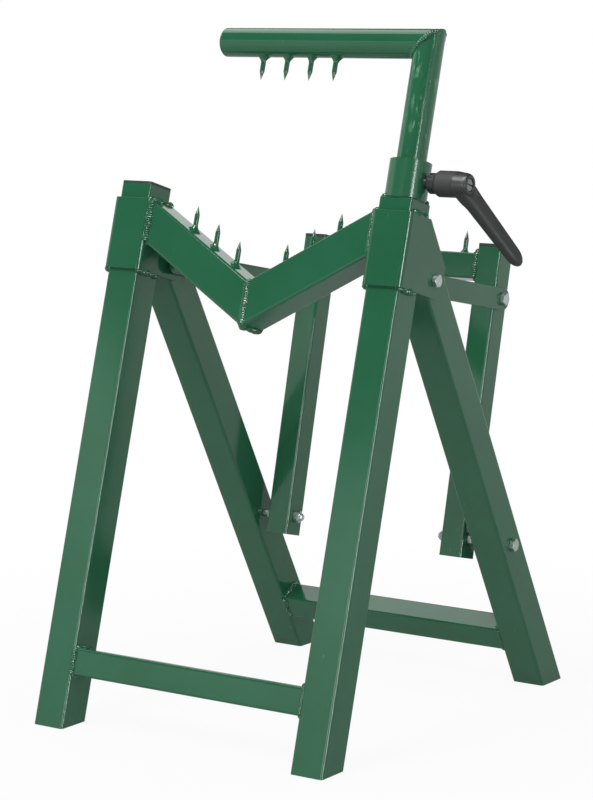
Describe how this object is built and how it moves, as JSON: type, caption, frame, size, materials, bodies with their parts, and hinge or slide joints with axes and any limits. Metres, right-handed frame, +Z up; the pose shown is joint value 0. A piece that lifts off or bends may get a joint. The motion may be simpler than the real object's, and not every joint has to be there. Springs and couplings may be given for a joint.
{
  "type": "folding log saw stand",
  "caption": "Folding steel saw stand: leaning front legs with a spiked V, a hinged rear frame with a spiked rest, and a spiked clamp arm in one leg.",
  "frame": {"origin": "on the floor, under the middle of the box round the whole stand", "axes": "+X to the right as seen from the front, towards the clamp lever; +Y to the back; +Z up"},
  "size_m": [0.483, 0.5104, 0.7567],
  "materials": {
    "green_paint": "gloss green enamel on steel tube",
    "weld_bead": "gloss green enamel on weld metal",
    "cap_plastic": "moulded black",
    "guide_plastic": "moulded black",
    "lever_black": "fine textured black",
    "blackened_steel": "blackened, turned",
    "screw_steel": "dull turned steel",
    "spring_steel": "bright wire",
    "zinc_plate": "bright zinc plate"
  },
  "bodies": {
    "front_frame": {"front_leg_left": "green_paint", "front_leg_right": "green_paint", "front_brace": "green_paint", "head_bracket_left": "green_paint", "head_bracket_right": "green_paint", "v_arm_left": "green_paint", "v_arm_right": "green_paint", "v_spikes": "green_paint", "v_spike_welds": "weld_bead", "leg_cap_left": "cap_plastic", "clamp_collar": "green_paint", "pivot_bolts": "zinc_plate", "pivot_spacer_nuts": "zinc_plate", "pivot_nuts": "zinc_plate"},
    "rear_frame": {"rear_leg_left": "green_paint", "rear_leg_right": "green_paint", "rear_brace": "green_paint", "link_bar_left": "green_paint", "link_bar_right": "green_paint", "short_upright_left": "green_paint", "short_upright_right": "green_paint", "upright_cap_left": "cap_plastic", "upright_cap_right": "cap_plastic", "rear_bar": "green_paint", "rear_spikes": "green_paint", "rear_spike_welds": "weld_bead", "link_bolts": "zinc_plate", "link_nuts": "zinc_plate", "strut_bolts": "zinc_plate", "strut_spacer_nuts": "zinc_plate", "strut_nuts": "zinc_plate"},
    "arm_guide": {"arm_plug": "guide_plastic"},
    "clamp_arm": {"arm_upright": "green_paint", "arm_bar": "green_paint", "arm_end_cap": "green_paint", "arm_spikes": "green_paint", "arm_spike_welds": "weld_bead"},
    "clamp_screw": {"clamp_stud": "blackened_steel"},
    "clamp_lever": {"lever_insert": "blackened_steel", "lever_screw": "screw_steel", "lever_spring": "spring_steel"},
    "handle": {"lever_handle": "lever_black"}
  },
  "joints": [
    {"name": "fold", "type": "hinge", "parent": "front_frame", "child": "rear_frame", "pos_m": [-0.04187, -0.05042, 0.49401], "axis": [1, 0, 0], "range_deg": [-45, 0]},
    {"name": "arm_slide", "type": "slide", "parent": "front_frame", "child": "arm_guide", "axis": [0, 0.2706, 0.9627], "range_m": [-0.105, 0.15]},
    {"name": "arm_swivel", "type": "hinge", "parent": "arm_guide", "child": "clamp_arm", "pos_m": [0.12813, -0.072, 0.57798], "axis": [0, 0.2706, 0.9627], "range_deg": [-90, 90]},
    {"name": "screw_advance", "type": "slide", "parent": "front_frame", "child": "clamp_screw", "axis": [1, 0, 0], "range_m": [0, 0.0027]},
    {"name": "lever_turn", "type": "hinge", "parent": "clamp_screw", "child": "clamp_lever", "pos_m": [0.12813, -0.06659, 0.59723], "axis": [1, 0, 0], "range_deg": [0, 540]},
    {"name": "handle_lift", "type": "slide", "parent": "clamp_lever", "child": "handle", "axis": [1, 0, 0], "range_m": [0, 0.006], "stiffness_N_per_m": 1500, "springref_m": -0.002, "deforming": ["lever_spring"]}
  ],
  "couplings": [
    {"joint": "screw_advance", "follows": "lever_turn", "m_per_rad": 0.00027852}
  ]
}
